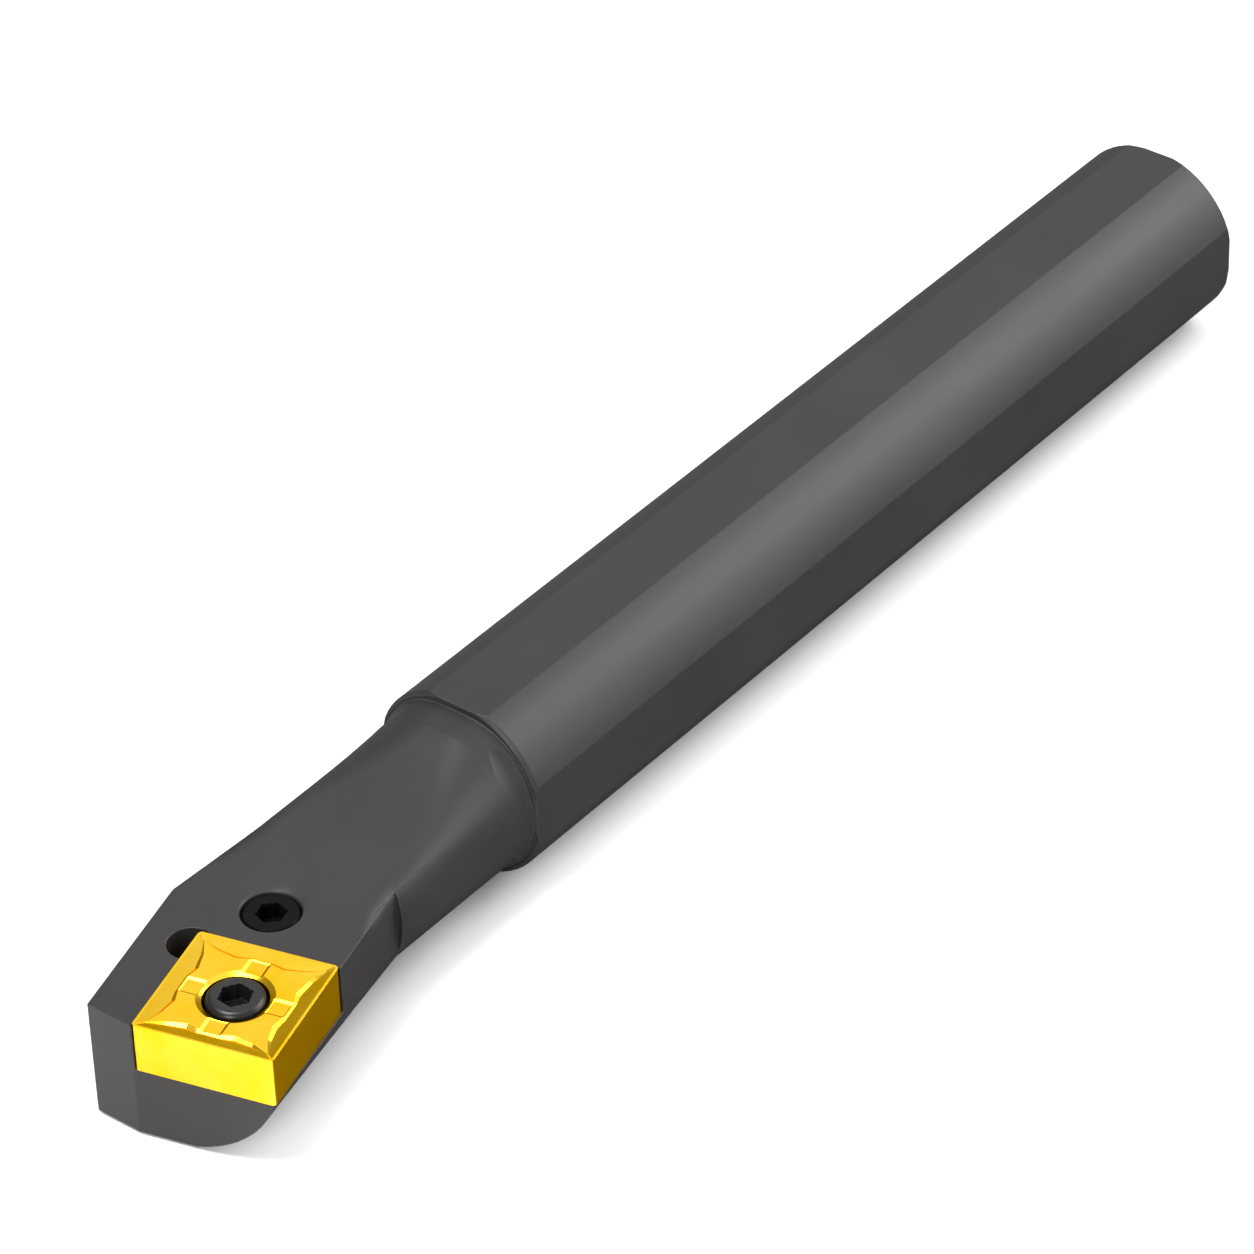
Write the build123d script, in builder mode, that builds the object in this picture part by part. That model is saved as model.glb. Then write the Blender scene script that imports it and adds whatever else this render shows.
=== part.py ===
from build123d import *
from math import cos, radians, sin, sqrt
import os

# Boring bar with a lever-locked square insert, in millimetres.
# The origin is the centre of the shank's rear end. X runs along the shank's axis to the head and Z is up.

# Shank, and the reach of neck and head in front of it
shank_length = 106.5
head_reach = 43.5
shank_diameter = 18.0
across_flats = 16.9
rear_chamfer = 0.4

# Collar at the front of the shank, with a short land and the fillet down to the neck
collar_chamfer = 0.3
land_radius = 8.4
land_length = 0.35
fillet_length = 1.65

# Neck: straight up to the head's milled side, then a slow cone
neck_diameter = 16.0
head_diameter = 18.0

# Head, in plan turned by the approach angle: u runs along its sides and w across them
head_angle = 15.0
head_top = 3.2
head_bottom = -8.2
head_left_w = -14.86
head_right_w = 2.5
head_front_u = 42.23
side_mill_start = 17.7

# Right cheek of the head: its section far back and its section at the front face, in w and z
cheek_back_u = 10.0
cheek_back_inner = -4.5
cheek_back_side = -4.6
cheek_back_middle = (-0.45, -7.3)
cheek_back_foot = (-4.4, -8.1)
cheek_front_inner = -9.0
cheek_front_side = -0.4
cheek_front_middle = (-0.35, -5.55)
cheek_front_foot = (-5.3, -8.2)

# Top: level over the head, then rising and rounding out into the neck back to the collar.
# Each station gives the length from the collar, the height, and the radius of the top's corners.
top_stations = (
    (2.8, 7.3, 6.9),
    (8.0, 5.2, 4.0),
    (13.0, 3.88, 1.6),
    (17.0, 3.33, 0.4),
    (21.0, head_top, 0.15),
)
cove_height = 7.8
cove_corner = 7.0
corner_margin = 0.08

# Insert: square and negative, the same on both faces
insert_side = 12.7
insert_thickness = 4.76
insert_nose = 0.4
insert_bore = 5.4
insert_mouth = 5.64
insert_stand = 0.14
insert_u = 35.92
insert_w = -3.97

# Chip breaker: edge land, sloped groove, star-shaped plateau with four channels, and a ring at the bore
edge_land = 0.2
groove_width = 1.3
groove_depth = 0.32
groove_corner = 0.1
plateau_drop = 0.12
plateau_spread = 0.36
plateau_tip = 5.55
plateau_flank = (3.9, 4.78)
plateau_waist = (2.15, 4.4)
plateau_middle = (1.15, 4.68)
channel_width = 2.0
channel_depth = 0.14
channel_taper = 60.0
channel_start = 2.9
channel_end = 4.9
ring_radius = 3.3
ring_depth = 0.25
mouth_depth = 0.9

# Pocket and its corner relief
relief_radius = 2.05
relief_u = 31.17
relief_w = -10.37
relief_extra = 0.5
edge_break = 0.12

# Lever screw
screw_u = 25.04
screw_w = -5.98
screw_mouth = 5.26
screw_mouth_depth = 1.6
screw_diameter = 5.1
screw_clearance = 0.05
screw_sink = 0.15
screw_bevel = 0.25
screw_tip_diameter = 3.2
screw_tip_length = 0.8

# Lever
lever_pin = 5.1
lever_round = 0.6
lever_proud = 0.05
lever_body = 6.4
lever_arm_width = 4.0
lever_arm_top = -4.3
lever_bottom = -6.1
lever_shoulder = -2.2
lever_bevel = 0.5
lever_heel = 1.5
cavity_gap = 0.4
tip_gap = 0.03

# Six-lobed recesses in the lever and the screw
lobe_count = 6
lobe_share = 0.22
lever_recess_radius = 1.5
lever_recess_depth = 1.6
screw_recess_radius = 1.36
screw_recess_depth = 1.6

# Worked out from the sizes above
overall_length = shank_length + head_reach
shank_radius = shank_diameter / 2
neck_radius = neck_diameter / 2
insert_half = insert_side / 2
insert_top = head_top + insert_stand
pocket_floor = insert_top - insert_thickness
lever_top = insert_top + lever_proud
screw_top = head_top - screw_sink
screw_hole = screw_diameter + 2 * screw_clearance
screw_bottom = lever_arm_top + tip_gap
reach = head_reach + shank_diameter
square_turns = (0, 90, 180, 270)
groove_floor = insert_side - 2 * (edge_land + groove_width)
plateau_level = insert_thickness / 2 - plateau_drop

angle = radians(head_angle)
u_direction = Vector(cos(angle), sin(angle), 0)
w_direction = Vector(-sin(angle), cos(angle), 0)
up = Vector(0, 0, 1)


def head_point(u, w, z=0.0):
    """Point given by the head's own plan axes."""
    return Vector(shank_length, 0, z) + u_direction * u + w_direction * w


def head_plane(u, w, z=0.0):
    """Level plane through a point of the head, turned with the head."""
    return Plane(origin=head_point(u, w, z), x_dir=u_direction, z_dir=up)


arm_reach = head_point(screw_u, screw_w) - head_point(insert_u, insert_w)


def insert_plane(z):
    """Level plane over the insert's centre, at a height above its middle."""
    return head_plane(insert_u, insert_w, insert_top - insert_thickness / 2 + z)


def arm_plane(z):
    """Level plane over the insert's centre, its x towards the lever screw."""
    return Plane(origin=head_point(insert_u, insert_w, z), x_dir=arm_reach.normalized(), z_dir=up)


def cheek_section(u, inner, side, middle, foot):
    """Section of the head's right cheek at one station along u: its side, round corner and bottom."""
    with BuildSketch(Plane(origin=head_point(u, 0), x_dir=w_direction, z_dir=u_direction)) as section:
        with BuildLine():
            Polyline(
                (head_right_w, side),
                (head_right_w, head_top),
                (inner, head_top),
                (inner, foot[1]),
                foot,
            )
            ThreePointArc(foot, middle, (head_right_w, side))
        make_face()
    return section.sketch


def top_section(x, height, corner, radius):
    """Section of the cutter for the top: level, with round corners that run out just past a round bar."""
    middle_height = height - corner
    across = sqrt((radius + corner_margin - corner) ** 2 - middle_height**2)
    outwards = Vector(across, middle_height).normalized()
    half_angle = outwards.get_angle(Vector(0, 1)) / 2
    halfway = Vector(across, middle_height) + Vector(0, corner).rotate(Axis.Z, -half_angle)
    corner_end = outwards * (radius + corner_margin)
    far = outwards * shank_diameter
    with BuildSketch(Plane.YZ.offset(x)) as section:
        with BuildLine():
            Line((-across, height), (across, height))
            Line((-far.X, reach), (far.X, reach))
            for side in (1, -1):
                ThreePointArc(
                    (side * across, height),
                    (side * halfway.X, halfway.Y),
                    (side * corner_end.X, corner_end.Y),
                )
                Polyline((side * corner_end.X, corner_end.Y), (side * far.X, far.Y), (side * far.X, reach))
        make_face()
    return section.sketch


def plateau_section(plane, grow):
    """Star-shaped section of the chip breaker's plateau, grown outwards by a margin."""
    side = (plateau_flank, plateau_waist, plateau_middle)
    points = []
    for turn in square_turns:
        points.append(Vector(plateau_tip + grow, plateau_tip + grow).rotate(Axis.Z, turn))
        for across, out in side:
            points.append(Vector(across, out + grow).rotate(Axis.Z, turn))
        for across, out in reversed(side):
            points.append(Vector(-across, out + grow).rotate(Axis.Z, turn))
    with BuildSketch(plane) as section:
        with BuildLine():
            Polyline(*points, close=True)
        make_face()
    return section.sketch


def lobed_outline(plane, radius):
    """Outline of a six-lobed recess on a plane."""
    with BuildSketch(plane) as outline:
        Circle(radius * (1 - lobe_share / 2))
        with PolarLocations(radius * (1 - lobe_share), lobe_count):
            Circle(radius * lobe_share)
    return outline.sketch


# Cutter for the top: a cove at the collar, the rounded rise over the neck, then the level head
collar_front = shank_length + collar_chamfer
side_start = shank_length + side_mill_start
cone_slope = (head_diameter / 2 - neck_radius) / (head_reach - side_mill_start)
top_start = shank_length + top_stations[-1][0]

with BuildPart() as top_cutter:
    rises = []
    for station, height, corner in top_stations:
        spread = max(0, station - side_mill_start) * cone_slope
        rises.append(top_section(shank_length + station, height, corner, neck_radius + spread))
    loft([top_section(collar_front, cove_height, cove_corner, land_radius), rises[0]], ruled=True)
    loft(rises)
    with Locations((top_start, 0, head_top)):
        Box(reach, reach, reach, align=(Align.MIN, Align.CENTER, Align.MIN))

# Bar body: the head's right cheek first, then the turned shank, neck and cone
land_end = collar_front + land_length
neck_start = land_end + fillet_length
fillet_drop = land_radius - neck_radius
fillet_radius = (fillet_length**2 + fillet_drop**2) / (2 * fillet_drop)
fillet_middle = neck_radius + fillet_radius - sqrt(fillet_radius**2 - (fillet_length / 2) ** 2)
side_y = (head_right_w + side_mill_start * sin(angle)) / cos(angle)

with BuildPart() as bar_body:
    cheek_back = cheek_section(
        cheek_back_u, cheek_back_inner, cheek_back_side, cheek_back_middle, cheek_back_foot
    )
    cheek_front = cheek_section(
        head_front_u, cheek_front_inner, cheek_front_side, cheek_front_middle, cheek_front_foot
    )
    loft([cheek_back, cheek_front], ruled=True)
    with Locations((side_start, 0, 0)):
        Box(reach, reach, reach, align=(Align.MAX, Align.CENTER, Align.CENTER), mode=Mode.SUBTRACT)
    with BuildSketch(Plane.XZ):
        with BuildLine():
            Polyline(
                (land_end, land_radius),
                (collar_front, land_radius),
                (collar_front, shank_radius - collar_chamfer),
                (shank_length, shank_radius),
                (rear_chamfer, shank_radius),
                (0, shank_radius - rear_chamfer),
                (0, 0),
                (overall_length, 0),
                (overall_length, head_diameter / 2),
                (side_start, neck_radius),
                (neck_start, neck_radius),
            )
            ThreePointArc(
                (neck_start, neck_radius),
                (neck_start - fillet_length / 2, fillet_middle),
                (land_end, land_radius),
            )
        make_face()
    revolve(axis=Axis.X)
    # Flats milled along the shank
    with BuildSketch(Plane.YZ):
        Rectangle(2 * shank_diameter, 2 * shank_diameter)
        Rectangle(across_flats, across_flats, mode=Mode.SUBTRACT)
    extrude(amount=collar_front, mode=Mode.SUBTRACT)
    # Left side, front face and end face of the head
    with Locations(head_plane(head_front_u, head_left_w)):
        Box(reach / 2, reach, reach, align=(Align.MAX, Align.MAX, Align.CENTER), mode=Mode.SUBTRACT)
        Box(reach, 2 * reach, reach, align=(Align.MIN, Align.CENTER, Align.CENTER), mode=Mode.SUBTRACT)
    with Locations((overall_length, 0, 0)):
        Box(reach, reach, reach, align=(Align.MIN, Align.CENTER, Align.CENTER), mode=Mode.SUBTRACT)
    # Right side of the head, milled back to a short step in the neck
    with BuildSketch(Plane.XY.offset(-shank_diameter)):
        with BuildLine():
            Polyline(
                (side_start, side_y),
                (side_start + reach * cos(angle), side_y + reach * sin(angle)),
                (side_start + reach * cos(angle), reach),
                (side_start, reach),
                close=True,
            )
        make_face()
    extrude(amount=2 * shank_diameter, mode=Mode.SUBTRACT)
    # Underside and top of the head
    with Locations((side_start, 0, head_bottom)):
        Box(reach, reach, reach, align=(Align.MIN, Align.CENTER, Align.MAX), mode=Mode.SUBTRACT)
    add(top_cutter.part, mode=Mode.SUBTRACT)
    # Insert pocket, open to the front and the right, with the relief in its inner corner
    with Locations(head_plane(insert_u - insert_half, insert_w - insert_half, pocket_floor)):
        Box(reach, reach, reach, align=(Align.MIN, Align.MIN, Align.MIN), mode=Mode.SUBTRACT)
    with BuildSketch(head_plane(insert_u - insert_half, insert_w - insert_half, head_top)):
        with Locations((-edge_break, -edge_break)):
            Rectangle(reach, reach, align=(Align.MIN, Align.MIN))
    extrude(amount=-edge_break, taper=45, mode=Mode.SUBTRACT)
    with BuildSketch(head_plane(relief_u, relief_w, pocket_floor - relief_extra)):
        Circle(relief_radius)
    extrude(amount=reach, mode=Mode.SUBTRACT)
    # Cavity of the lever, open below: a bore up to the pocket and a slot back to the screw
    with BuildSketch(arm_plane(-shank_diameter)):
        Circle(lever_body / 2 + cavity_gap)
    extrude(amount=shank_diameter + head_top, mode=Mode.SUBTRACT)
    with BuildSketch(arm_plane(-shank_diameter)):
        with Locations((arm_reach.length / 2, 0)):
            SlotCenterToCenter(arm_reach.length, lever_arm_width + 2 * cavity_gap)
    extrude(amount=shank_diameter + lever_arm_top + cavity_gap, mode=Mode.SUBTRACT)
    # Screw hole, with its wider mouth and broken edge
    with Locations(head_plane(screw_u, screw_w, head_top)):
        CounterBoreHole(screw_hole / 2, screw_mouth / 2, screw_mouth_depth, head_top - lever_arm_top)
        Cone(screw_mouth / 2, screw_mouth / 2 + 2 * edge_break, 2 * edge_break, mode=Mode.SUBTRACT)

# Insert: one half with its chip breaker, then the other half as its mirror
with BuildPart() as insert:
    with BuildSketch(insert_plane(0)):
        RectangleRounded(insert_side, insert_side, insert_nose)
    extrude(amount=insert_thickness / 2)
    # Sloped groove behind the edge land
    with BuildSketch(insert_plane(insert_thickness / 2)):
        RectangleRounded(insert_side - 2 * edge_land, insert_side - 2 * edge_land, insert_nose - edge_land)
    with BuildSketch(insert_plane(insert_thickness / 2 - groove_depth)):
        RectangleRounded(groove_floor, groove_floor, groove_corner)
    loft(ruled=True, mode=Mode.SUBTRACT)
    # Plateau standing in the groove
    plateau_foot = plateau_section(insert_plane(insert_thickness / 2 - groove_depth), plateau_spread)
    plateau_crown = plateau_section(insert_plane(plateau_level), 0)
    loft([plateau_foot, plateau_crown], ruled=True)
    # Channels across the plateau
    with BuildSketch(insert_plane(plateau_level)):
        with PolarLocations((channel_start + channel_end) / 2, len(square_turns)):
            Rectangle(channel_end - channel_start, channel_width)
    extrude(amount=-channel_depth, taper=channel_taper, mode=Mode.SUBTRACT)
    # Bore with its flared mouth and ring
    with BuildSketch(Plane(origin=insert_plane(0).origin, x_dir=u_direction, z_dir=-w_direction)):
        with BuildLine():
            Polyline(
                (0, 0),
                (insert_bore / 2, 0),
                (insert_bore / 2, plateau_level - mouth_depth),
                (insert_mouth / 2, plateau_level - ring_depth),
                (ring_radius, plateau_level),
                (ring_radius, insert_thickness),
                (0, insert_thickness),
                close=True,
            )
        make_face()
    revolve(axis=Axis(insert_plane(0).origin, up), mode=Mode.SUBTRACT)
    mirror(about=insert_plane(0))

# Lever: a pin up through the insert, a thicker body under it and an arm back to the screw
arm_base = arm_plane(lever_bottom)
arm_side = Plane(origin=arm_base.origin, x_dir=arm_base.x_dir, z_dir=-arm_base.y_dir)

with BuildPart() as lever:
    with BuildSketch(arm_base):
        Circle(lever_body / 2)
    extrude(amount=lever_shoulder - lever_bottom)
    chamfer(lever.edges().group_by(Axis.Z)[-1], lever_bevel)
    with BuildSketch(arm_plane(lever_shoulder)):
        Circle(lever_pin / 2)
    extrude(amount=lever_top - lever_shoulder)
    fillet(lever.edges().group_by(Axis.Z)[-1], lever_round)
    with BuildSketch(arm_base):
        with Locations((arm_reach.length / 2, 0)):
            SlotCenterToCenter(arm_reach.length, lever_arm_width)
    extrude(amount=lever_arm_top - lever_bottom)
    recess = lobed_outline(arm_plane(lever_top), lever_recess_radius)
    extrude(recess, amount=-lever_recess_depth, mode=Mode.SUBTRACT)
    # Round heel that the lever rocks on
    with BuildSketch(arm_side):
        with Locations((lever_heel - lever_body / 2, lever_heel)):
            Rectangle(lever_heel, lever_heel, align=(Align.MAX, Align.MAX))
            Circle(lever_heel, mode=Mode.SUBTRACT)
    extrude(amount=lever_body, both=True, mode=Mode.SUBTRACT)

# Lever screw, its tip over the end of the arm
with BuildPart() as lever_screw:
    with BuildSketch(head_plane(screw_u, screw_w, screw_bottom + screw_tip_length)):
        Circle(screw_diameter / 2)
    extrude(amount=screw_top - screw_bottom - screw_tip_length)
    chamfer(lever_screw.edges().group_by(Axis.Z)[-1], screw_bevel)
    with BuildSketch(head_plane(screw_u, screw_w, screw_bottom)):
        Circle(screw_tip_diameter / 2)
    extrude(amount=screw_tip_length)
    recess = lobed_outline(head_plane(screw_u, screw_w, screw_top), screw_recess_radius)
    extrude(recess, amount=-screw_recess_depth, mode=Mode.SUBTRACT)

os.makedirs("parts", exist_ok=True)
bar_body.part.label = "bar_body"
export_step(bar_body.part, "parts/bar_body.step")
insert.part.label = "insert"
export_step(insert.part, "parts/insert.step")
lever.part.label = "lever"
export_step(lever.part, "parts/lever.step")
lever_screw.part.label = "lever_screw"
export_step(lever_screw.part, "parts/lever_screw.step")
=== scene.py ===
import math
import bpy
from mathutils import Euler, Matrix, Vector


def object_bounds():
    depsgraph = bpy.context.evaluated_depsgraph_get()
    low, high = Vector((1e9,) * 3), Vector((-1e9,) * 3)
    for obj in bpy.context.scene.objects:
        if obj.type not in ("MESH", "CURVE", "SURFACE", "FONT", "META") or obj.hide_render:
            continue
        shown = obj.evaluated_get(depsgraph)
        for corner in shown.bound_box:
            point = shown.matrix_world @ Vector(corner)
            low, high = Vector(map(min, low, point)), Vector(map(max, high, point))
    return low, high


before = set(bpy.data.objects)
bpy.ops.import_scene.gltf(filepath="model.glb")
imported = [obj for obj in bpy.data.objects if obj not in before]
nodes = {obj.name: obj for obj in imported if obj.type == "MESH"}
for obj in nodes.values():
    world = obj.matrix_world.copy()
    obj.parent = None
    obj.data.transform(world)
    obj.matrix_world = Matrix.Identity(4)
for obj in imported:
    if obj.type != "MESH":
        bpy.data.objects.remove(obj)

# Boring bar with a lever-locked square insert. Lengths are in metres.
cadBox = [list(corner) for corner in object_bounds()]
print("frame loaded:", ", ".join(sorted(nodes)))


class Sock:
    # an output socket that takes part in sums
    def __init__(self, shader, out):
        self.shader = shader
        self.out = out

    def sum(self, operation, *values):
        return self.shader.node("ShaderNodeMath", {"operation": operation}, *values)

    def __add__(self, other):
        return self.sum("ADD", self, other)

    def __radd__(self, other):
        return self.sum("ADD", other, self)

    def __sub__(self, other):
        return self.sum("SUBTRACT", self, other)

    def __rsub__(self, other):
        return self.sum("SUBTRACT", other, self)

    def __mul__(self, other):
        return self.sum("MULTIPLY", self, other)

    def __rmul__(self, other):
        return self.sum("MULTIPLY", other, self)


class Shader:
    # one material, filled node by node
    def __init__(self, name):
        self.material = bpy.data.materials.new(name)
        self.material.use_nodes = True
        self.tree = self.material.node_tree
        self.tree.nodes.clear()
        self.place = self.node("ShaderNodeTexCoord", output="Object")

    def node(self, kind, settings=None, *values, output=0, **named):
        # plain values fill the sockets in order, named ones go by the socket's name with _ for a space
        made = self.tree.nodes.new(kind)
        for key, value in (settings or {}).items():
            if key == "stops":
                for stop, (place, level) in zip(made.color_ramp.elements, value):
                    stop.position = place
                    stop.color = (level, level, level, 1)
            else:
                setattr(made, key, value)
        pairs = list(zip(made.inputs, values))
        pairs += [(made.inputs[key.replace("_", " ")], value) for key, value in named.items()]
        for socket, value in pairs:
            if isinstance(value, Sock):
                self.tree.links.new(value.out, socket)
            elif socket.type == "RGBA":
                socket.default_value = (*value, 1)
            else:
                socket.default_value = value
        return Sock(self, made.outputs[output]) if made.outputs else None

    def noise(self, waves, detail, roughness=0.5, stretch=(1, 1, 1)):
        # waves: how many over one metre
        place = self.node("ShaderNodeMapping", None, self.place, Scale=stretch)
        return self.node("ShaderNodeTexNoise", None, place, Scale=waves, Detail=detail, Roughness=roughness)

    def ramp(self, value, start, end):
        # from black at the start to white at the end
        return self.node("ShaderNodeValToRGB", {"stops": ((start, 0), (end, 1))}, value)

    def fade(self, value, start, end):
        # a soft step from 0 at the start to 1 at the end
        return self.node("ShaderNodeMapRange", {"interpolation_type": "SMOOTHSTEP"}, value, start, end)

    def mix(self, factor, first, second):
        return self.node("ShaderNodeMixRGB", None, factor, first, second)

    def mottled(self, tone, look):
        return self.mix(self.ramp(tone, *look["toneRange"]), look["dark"], look["light"])

    def rounded(self, radius, samples=6):
        # normals that turn over each edge as a rounding of this radius would
        return self.node("ShaderNodeBevel", {"samples": samples}, Radius=radius)

    def bump(self, height, look, **normal):
        strength, depth = look["bump"]
        return self.node("ShaderNodeBump", None, Height=height, Strength=strength, Distance=depth, **normal)

    def finish(self, **surface):
        skin = self.node("ShaderNodeBsdfPrincipled", None, **surface)
        self.node("ShaderNodeOutputMaterial", None, skin)
        return self.material


# In the looks below, a noise is its waves over a metre, detail, roughness and stretch,
# and a bump is its strength and depth.

# Oxide-black steel of the bar
barLook = {
    "dark": (0.0208, 0.0192, 0.0193),
    "light": (0.0285, 0.0262, 0.0264),
    "toneRange": (0.35, 0.65),
    "cloud": (70, 3),
    "grain": (2600, 3, 0.6),
    "mill": (900, 2, 0.5, (0.12, 1, 1)),  # milling marks along the bar
    "shares": (0.6, 0.25, 0.15),  # of cloud, grain and mill in the tone
    "millHeight": 0.5,
    "bump": (0.12, 0.00004),
    "roughness": 0.42,
    "roughnessSpread": 0.2,
    "sheen": 0.33,
    "edgeRadius": 0.00018,
    "wornEdge": (0.14, 0.135, 0.13),
    "wear": 0.5,
    "wearReach": 6,
    "wearGrain": 0.4,
    "wearStart": 0.35,
    "wearRange": (0.35, 0.9),
    "neckRadius": 0.0024,
    "neckSamples": 8,
    "neckStart": (0.1085, 0.1105),  # where the softer shading sets in, in front of the collar
    "neckEnd": (0.1275, 0.1315),  # and where it has gone, on the head
}


def barSteel():
    look = barLook
    s = Shader("oxideSteel")
    cloud = s.noise(*look["cloud"])
    grain = s.noise(*look["grain"])
    mill = s.noise(*look["mill"])
    cloudShare, grainShare, millShare = look["shares"]
    tone = cloud * cloudShare + grain * grainShare + mill * millShare

    # worn where the rounded normal turns away from the face's own
    edge = s.rounded(look["edgeRadius"])
    flat = s.node("ShaderNodeNewGeometry", output="Normal")
    turn = s.node("ShaderNodeVectorMath", {"operation": "DOT_PRODUCT"}, edge, flat, output="Value")
    bare = (1 - turn) * look["wearReach"] + grain * look["wearGrain"] - look["wearStart"]
    worn = s.ramp(bare, *look["wearRange"]) * look["wear"]

    # over the neck the shading runs softly from face to face
    along = s.node("ShaderNodeSeparateXYZ", None, s.place, output="X")
    neck = s.fade(along, *look["neckStart"]) * (1 - s.fade(along, *look["neckEnd"]))
    normal = s.mix(neck, edge, s.rounded(look["neckRadius"], look["neckSamples"]))
    return s.finish(
        Base_Color=s.mix(worn, s.mottled(tone, look), look["wornEdge"]),
        Roughness=look["roughness"] + (tone - 0.5) * look["roughnessSpread"],
        Specular_IOR_Level=look["sheen"],
        Normal=s.bump(grain + mill * look["millHeight"], look, Normal=normal),
    )


# Black oxide of the lever and its screw
lockLook = {
    "toneRange": (0.35, 0.65),
    "cloud": (500, 2),
    "grain": (5200, 2, 0.6),
    "shares": (0.5, 0.5),  # of cloud and grain in the tone
    "bump": (0.2, 0.00002),
    "roughnessSpread": 0.25,
    "edgeRadius": 0.00012,
}
leverLook = {
    "dark": (0.006, 0.006, 0.0064),
    "light": (0.012, 0.012, 0.0127),
    "roughness": 0.34,
    "sheen": 0.4,
}
screwLook = {
    "dark": (0.002, 0.002, 0.0022),
    "light": (0.005, 0.005, 0.0054),
    "roughness": 0.3,
    "sheen": 0.05,
}


def lockSteel(name, pieceLook):
    look = {**lockLook, **pieceLook}
    s = Shader(name)
    cloud = s.noise(*look["cloud"])
    grain = s.noise(*look["grain"])
    cloudShare, grainShare = look["shares"]
    return s.finish(
        Base_Color=s.mottled(cloud * cloudShare + grain * grainShare, look),
        Roughness=look["roughness"] + (cloud - 0.5) * look["roughnessSpread"],
        Specular_IOR_Level=look["sheen"],
        Normal=s.bump(grain, look, Normal=s.rounded(look["edgeRadius"])),
    )


# Gold nitride coating of the insert
insertLook = {
    "dark": (0.95, 0.555, 0.016),
    "light": (1.0, 0.63, 0.055),
    "grazing": (1.0, 0.62, 0.02),
    "toneRange": (0.35, 0.65),
    "cloud": (260, 2),
    "grain": (6400, 2, 0.6),
    "ground": (2400, 2, 0.6, (1, 1, 0.08)),  # grinding marks up and down the flanks
    "shares": (0.7, 0.3),  # of cloud and grain in the tone
    "groundHeight": 0.6,
    "bump": (0.05, 0.00001),
    "roughness": 0.2,
    "roughnessSpread": 0.06,
    "edgeRadius": 0.00005,
}


def goldCoating():
    look = insertLook
    s = Shader("goldNitride")
    cloud = s.noise(*look["cloud"])
    grain = s.noise(*look["grain"])
    ground = s.noise(*look["ground"])
    cloudShare, grainShare = look["shares"]
    height = grain + ground * look["groundHeight"]
    return s.finish(
        Base_Color=s.mottled(cloud * cloudShare + grain * grainShare, look),
        Metallic=1.0,
        Roughness=look["roughness"] + (cloud - 0.5) * look["roughnessSpread"],
        Specular_Tint=look["grazing"],
        Normal=s.bump(height, look, Normal=s.rounded(look["edgeRadius"])),
    )


finishes = {
    "bar_body": barSteel(),
    "lever": lockSteel("leverOxide", leverLook),
    "lever_screw": lockSteel("screwOxide", screwLook),
    "insert": goldCoating(),
}
for name, material in finishes.items():
    slots = nodes[name].data.materials
    for index in range(len(slots)):
        slots[index] = material
print("materials done")

# Plain pale floor
floorLook = {
    "size": 6.0,
    "dark": (0.96, 0.96, 0.96),
    "light": (0.9504, 0.9504, 0.9504),
    "cloud": (3, 2),
    "bump": (0.02, 0.001),
    "roughness": 0.8,
}
floorLevel = cadBox[0][2]
bpy.ops.mesh.primitive_plane_add(size=floorLook["size"], location=(0, 0, floorLevel))
floor = bpy.context.object
floor.name = "floor"
s = Shader("paleFloor")
cloud = s.noise(*floorLook["cloud"])
floor.data.materials.append(s.finish(
    Base_Color=s.mix(cloud, floorLook["dark"], floorLook["light"]),
    Roughness=floorLook["roughness"],
    Normal=s.bump(cloud, floorLook),
))

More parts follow.
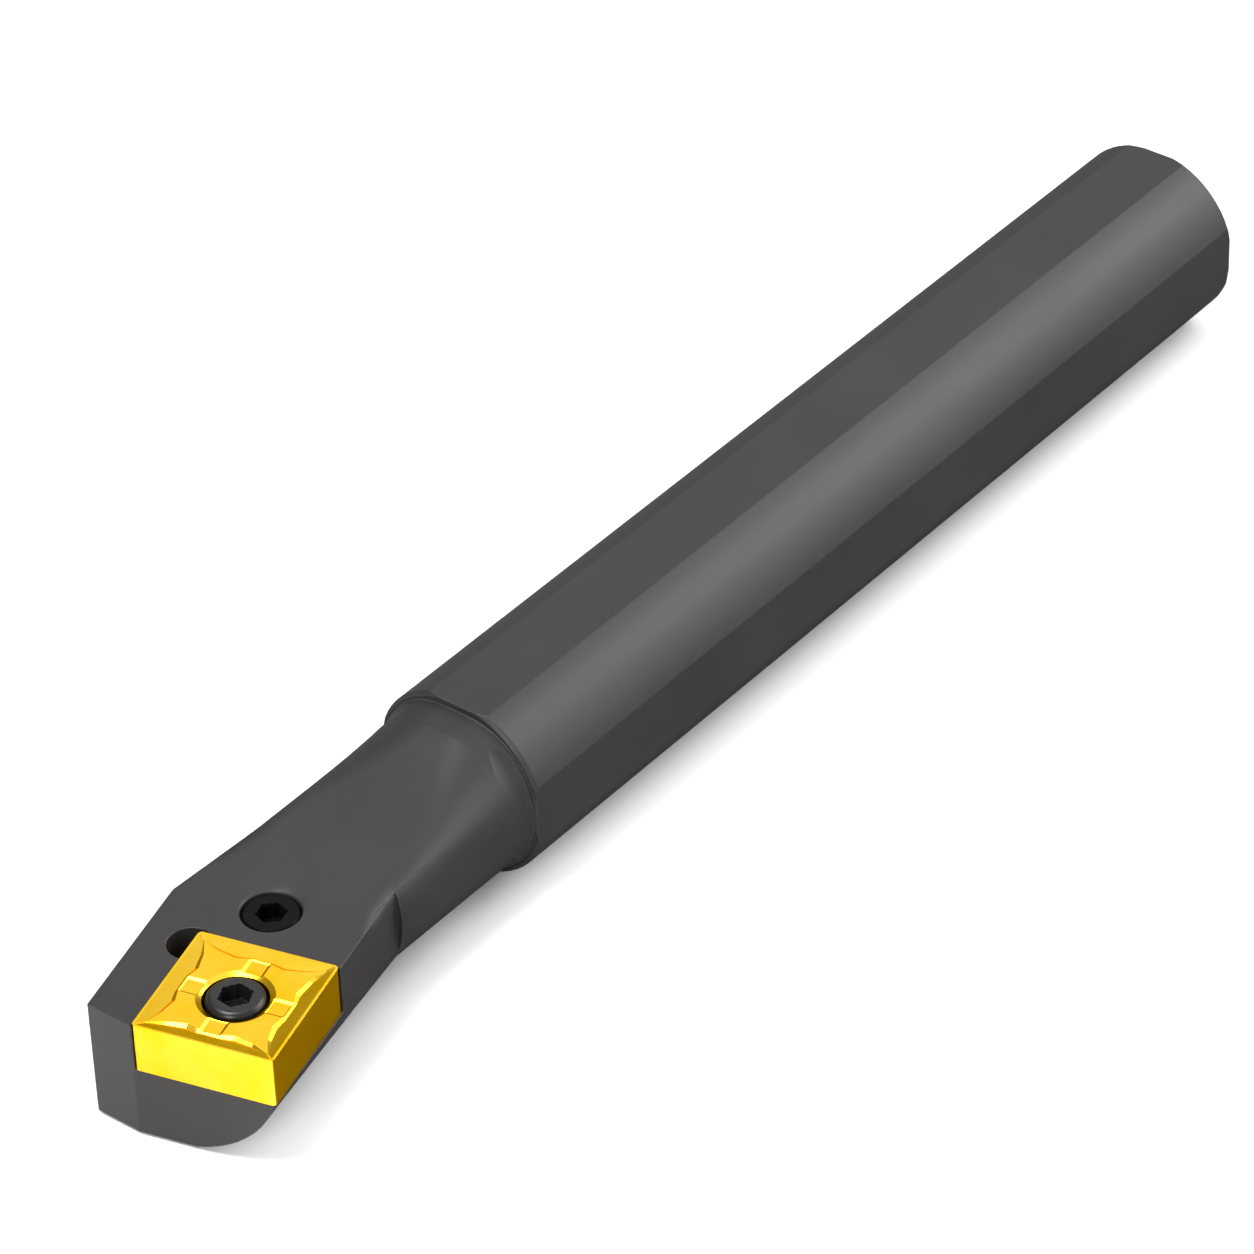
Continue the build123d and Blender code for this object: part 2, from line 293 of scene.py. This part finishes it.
# Dark card on the floor round the bar, seen only in reflections, so that its steep sides read dark
flagLook = {
    "size": (0.65, 0.6),
    "corner": (-0.505, -0.3),
    "lift": 0.0002,
    "color": (0.13, 0.13, 0.13),
    "roughness": 1.0,
}
flagMiddle = [corner + size / 2 for corner, size in zip(flagLook["corner"], flagLook["size"])]
bpy.ops.mesh.primitive_plane_add(size=1, location=(*flagMiddle, floorLevel + flagLook["lift"]))
flag = bpy.context.object
flag.name = "flag"
flag.scale = (*flagLook["size"], 1)
flag.visible_camera = False
flag.visible_shadow = False
flag.visible_diffuse = False
darkCard = Shader("darkCard").finish(Base_Color=flagLook["color"], Roughness=flagLook["roughness"])
flag.data.materials.append(darkCard)
print("floor done")

# Studio light: an even white surround, and softboxes aimed at the bar
studioLook = {"surround": 0.3, "target": (0.09, 0.0, 0.0)}
softboxes = {  # place, width and power
    "overhead": ((0.09, 0.0, 1.5), 1.6, 7.5),
    "key": ((-0.72, -0.65, 0.78), 0.8, 1.6),
    "side": ((-0.72, 0.85, 0.46), 0.9, 6.5),
    "rear": ((-0.27, 0.17, 0.32), 0.3, 1.5),
    "front": ((1.2, 0.32, 0.5), 0.6, 8.0),
    "low": ((0.35, 1.1, 0.45), 0.5, 1.0),
    "headFill": ((0.21, -0.05, 0.28), 0.12, 0.7),
}
world = bpy.data.worlds.new("studio")
world.use_nodes = True
surround = world.node_tree.nodes["Background"]
surround.inputs["Color"].default_value = (1, 1, 1, 1)
surround.inputs["Strength"].default_value = studioLook["surround"]
bpy.context.scene.world = world
for name, (place, width, power) in softboxes.items():
    light = bpy.data.lights.new(name, "AREA")
    light.size = width
    light.energy = power
    lamp = bpy.data.objects.new(name, light)
    bpy.context.scene.collection.objects.link(lamp)
    lamp.location = place
    aim = Vector(studioLook["target"]) - Vector(place)
    lamp.rotation_euler = aim.to_track_quat("-Z", "Y").to_euler()
bpy.context.scene.view_settings.view_transform = "Standard"
print("studio done")

# Camera: place, turn in degrees, and lens and sensor in millimetres
cameraLook = {
    "place": (0.40720, 0.26266, 0.31473),
    "turn": (53.1497, 1.6338, 127.8255),
    "lens": 170.28,
    "sensor": 36.0,
    "clip": (0.01, 20),
}
camera = bpy.data.cameras.new("camera")
camera.lens = cameraLook["lens"]
camera.sensor_width = cameraLook["sensor"]
camera.clip_start, camera.clip_end = cameraLook["clip"]
cameraObject = bpy.data.objects.new("camera", camera)
bpy.context.scene.collection.objects.link(cameraObject)
cameraObject.location = cameraLook["place"]
cameraObject.rotation_euler = Euler([math.radians(angle) for angle in cameraLook["turn"]])
bpy.context.scene.camera = cameraObject
print("camera done")
